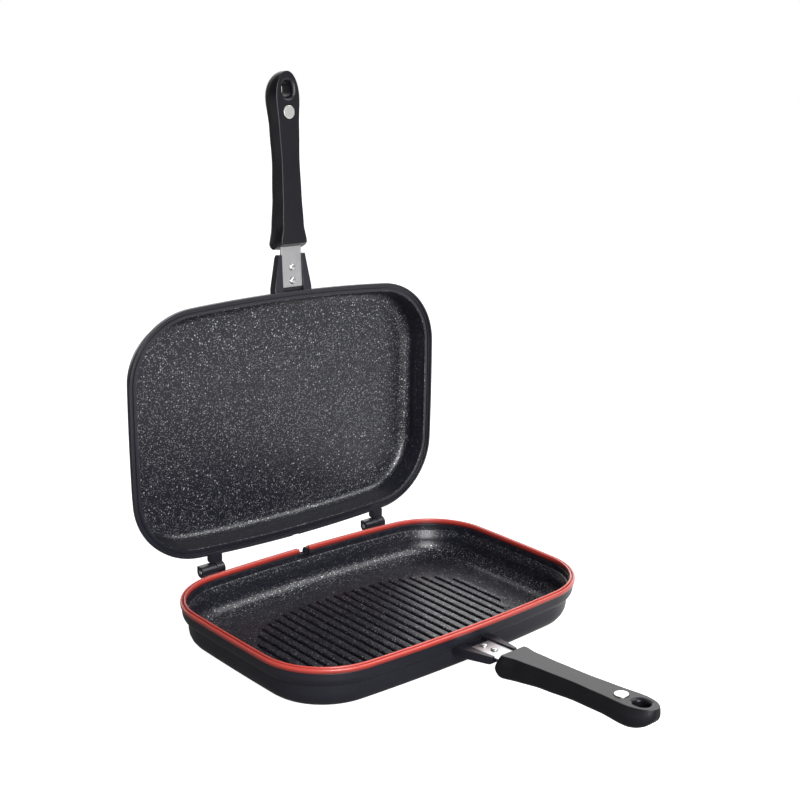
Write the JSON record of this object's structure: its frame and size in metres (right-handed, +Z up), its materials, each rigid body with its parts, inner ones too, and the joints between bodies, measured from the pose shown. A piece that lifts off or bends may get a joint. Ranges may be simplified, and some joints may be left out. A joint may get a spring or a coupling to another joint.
{
  "type": "double-sided grill pan",
  "caption": "Rectangular double grill pan with rounded corners: ribbed lower half with a rim seal, shallow upper half on rear hinges, and matching long handles with magnets.",
  "frame": {"origin": "middle of the flat underside of the lower half", "axes": "+Z up, +X along the hinge line to the right as seen from the handles, +Y from the handles towards the hinges"},
  "size_m": [0.36, 0.4916, 0.4928],
  "materials": {
    "coating": "die-cast aluminium with a dark granite-effect non-stick coating",
    "silicone": "red silicone, satin",
    "steel": "satin stainless steel",
    "bakelite": "black moulded phenolic, satin",
    "magnet": "nickel-plated magnet"
  },
  "bodies": {
    "lower_half": {"lower_pan": "coating", "silicone_seal": "silicone", "lower_strap": "steel", "lower_rivet_inner": "steel", "lower_rivet_outer": "steel", "lower_handle": "bakelite", "lower_magnet": "magnet", "lower_handle_screw": "steel", "hinge_pin_left": "steel", "hinge_pin_right": "steel"},
    "upper_half": {"upper_pan": "coating", "upper_strap": "steel", "upper_rivet_inner": "steel", "upper_rivet_outer": "steel", "upper_handle": "bakelite", "upper_magnet": "magnet", "upper_handle_screw": "steel"}
  },
  "joints": [
    {"name": "lid_hinge", "type": "hinge", "parent": "lower_half", "child": "upper_half", "pos_m": [0, 0.13295, 0.03784], "axis": [1, 0, 0], "range_deg": [0, 90.9]}
  ]
}
